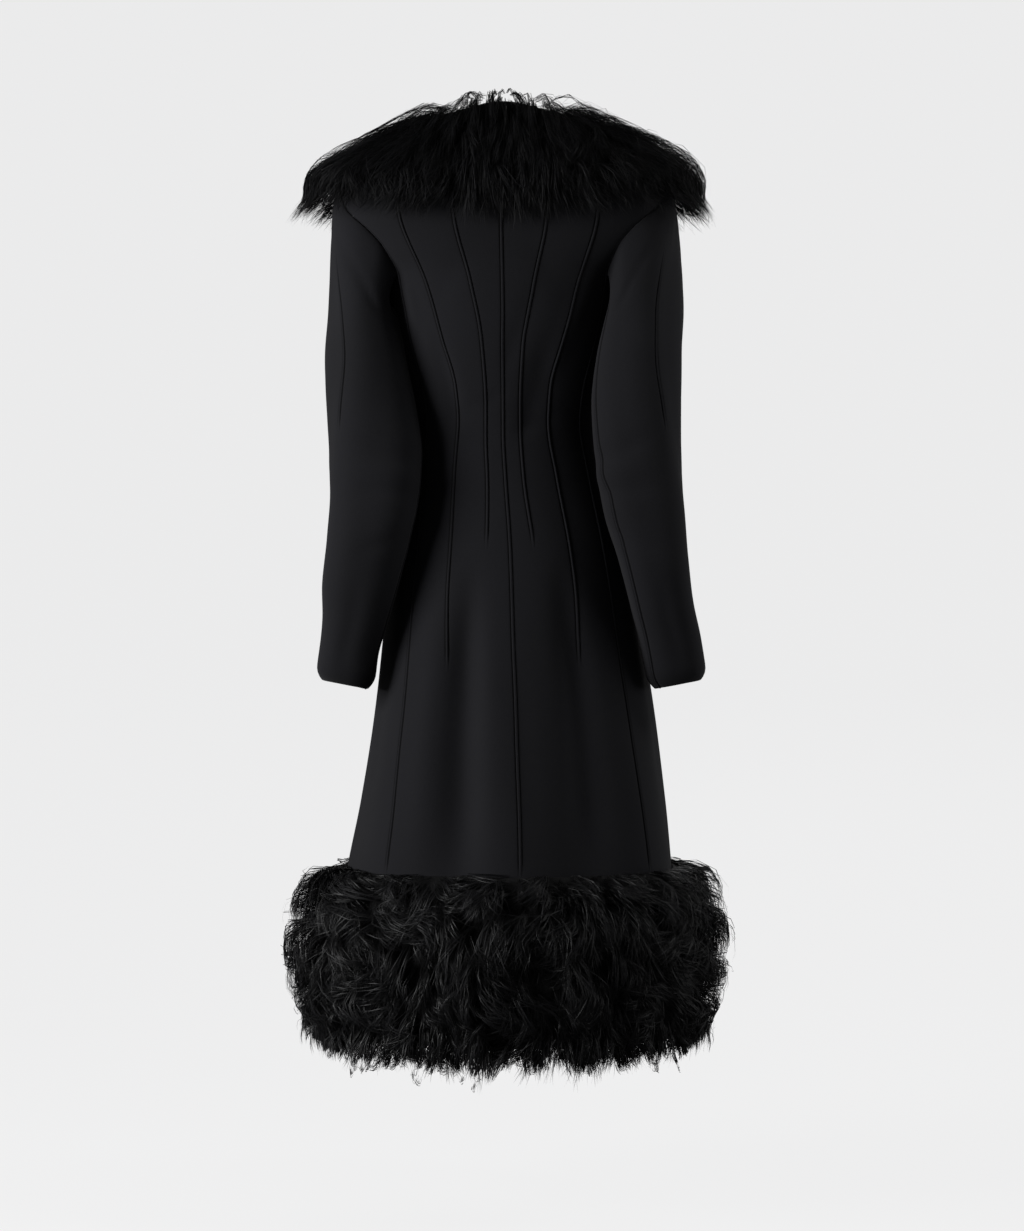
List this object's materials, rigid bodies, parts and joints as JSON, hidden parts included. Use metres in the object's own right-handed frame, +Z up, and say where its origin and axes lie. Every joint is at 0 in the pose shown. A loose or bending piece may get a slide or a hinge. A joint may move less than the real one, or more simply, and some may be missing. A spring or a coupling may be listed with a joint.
{
  "type": "fur-trimmed coat",
  "caption": "Long fitted wool coat in its worn shape, with shaped welt seams, a deep fur collar over the shoulders and a full fur band round the hem.",
  "frame": {"origin": "on the shoulders, in the middle of the neck opening, where the wearer carries the coat", "axes": "+Z up along the coat; the front faces -Y, the back +Y, and the coat's left is +X"},
  "size_m": [0.5799, 0.5389, 1.2414],
  "materials": {
    "cloth": "brushed black wool",
    "fur": "long black fur",
    "button": "satin black"
  },
  "bodies": {
    "root": {"back_left": "cloth", "back_right": "cloth", "side_left": "cloth", "side_right": "cloth", "front_left": "cloth", "front_right": "cloth", "top_sleeve_left": "cloth", "top_sleeve_right": "cloth", "under_sleeve_left": "cloth", "under_sleeve_right": "cloth", "fur_collar": "fur", "hem_fur_left": "fur", "hem_fur_right": "fur", "button_1": "button", "button_2": "button", "button_3": "button", "button_4": "button"}
  },
  "joints": []
}
